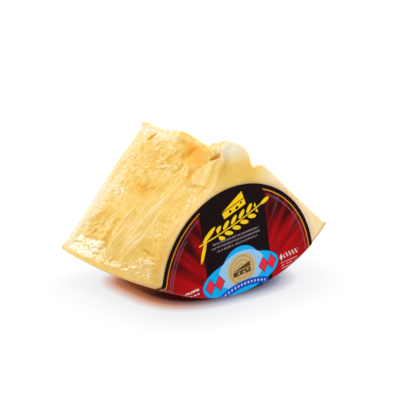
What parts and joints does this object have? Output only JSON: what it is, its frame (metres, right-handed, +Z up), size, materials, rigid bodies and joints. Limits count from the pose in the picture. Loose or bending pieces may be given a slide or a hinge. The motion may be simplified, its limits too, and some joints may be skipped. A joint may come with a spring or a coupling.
{
  "type": "parmesan cheese wedge",
  "caption": "Chunk broken from a wheel of hard cheese, resting on its rind, with rough broken faces and a round label folded over the rim.",
  "frame": {"origin": "middle of the footprint's bounding box, on the surface that the chunk stands on", "axes": "+Z up; the labelled flat face of the wheel looks towards -Y and the wheel's axis lies along Y; +X to the right as the label is read"},
  "size_m": [0.1722, 0.1258, 0.1233],
  "materials": {
    "cheese": "pale yellow hard cheese with grainy broken faces, slightly glossy under skin-tight clear film",
    "label": "glossy printed film label, red and black"
  },
  "bodies": {
    "root": {"cheese": "cheese", "label": "label"}
  },
  "joints": []
}
